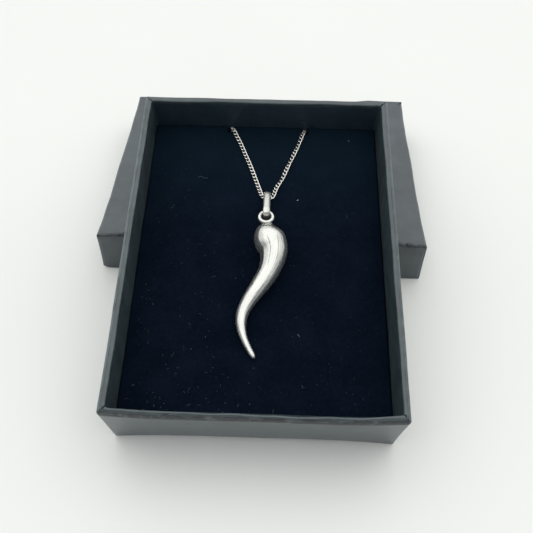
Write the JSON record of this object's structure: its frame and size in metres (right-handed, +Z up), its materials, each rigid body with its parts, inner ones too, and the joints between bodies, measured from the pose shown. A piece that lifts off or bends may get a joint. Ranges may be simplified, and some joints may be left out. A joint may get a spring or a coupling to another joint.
{
  "type": "pendant necklace in a gift box",
  "caption": "Polished silver horn-shaped drop on a fine curb chain, lying on the velvet pad of an open lift-off-lid gift box propped on its own lid.",
  "frame": {"origin": "on the table under the middle of the box that holds everything, tray and lid together", "axes": "+X to the right across the tray, +Y away from the tray's near edge towards the lid, +Z up"},
  "size_m": [0.0988, 0.1364, 0.0433],
  "materials": {
    "paper_board": "board covered in dark grey satin paper",
    "velvet": "black-blue velvet with fine lint",
    "silver": "polished sterling silver with fine scratches"
  },
  "bodies": {
    "root": {"box_tray": "paper_board", "box_lid": "paper_board", "velvet_pad": "velvet", "horn_drop": "silver", "bail": "silver", "chain_front": "silver", "chain_back": "silver", "clasp": "silver"}
  },
  "joints": []
}
